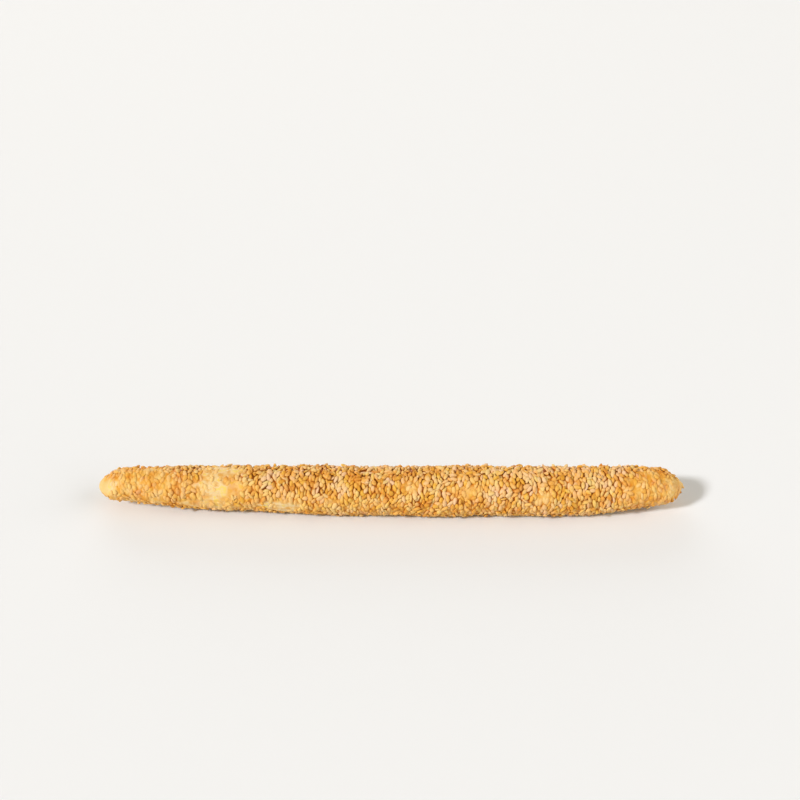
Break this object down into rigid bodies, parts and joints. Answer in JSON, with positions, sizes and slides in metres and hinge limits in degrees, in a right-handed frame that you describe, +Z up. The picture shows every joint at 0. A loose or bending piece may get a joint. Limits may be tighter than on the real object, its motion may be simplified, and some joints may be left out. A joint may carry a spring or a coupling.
{
  "type": "sesame candy stick",
  "caption": "Pulled malt candy stick rolled in toasted sesame, with blunt pinched ends and bare candy patches, lying on its flattened underside.",
  "frame": {"origin": "centre of the stick's box, on the surface that it lies on", "axes": "+X along the stick, towards the tip at the right of the picture; +Y towards its back; +Z up"},
  "size_m": [0.2234, 0.0208, 0.0181],
  "materials": {
    "sesame_seeds": "satin",
    "pulled_candy": "satin"
  },
  "bodies": {
    "root": {"candy_stick": "sesame_seeds"}
  },
  "joints": []
}
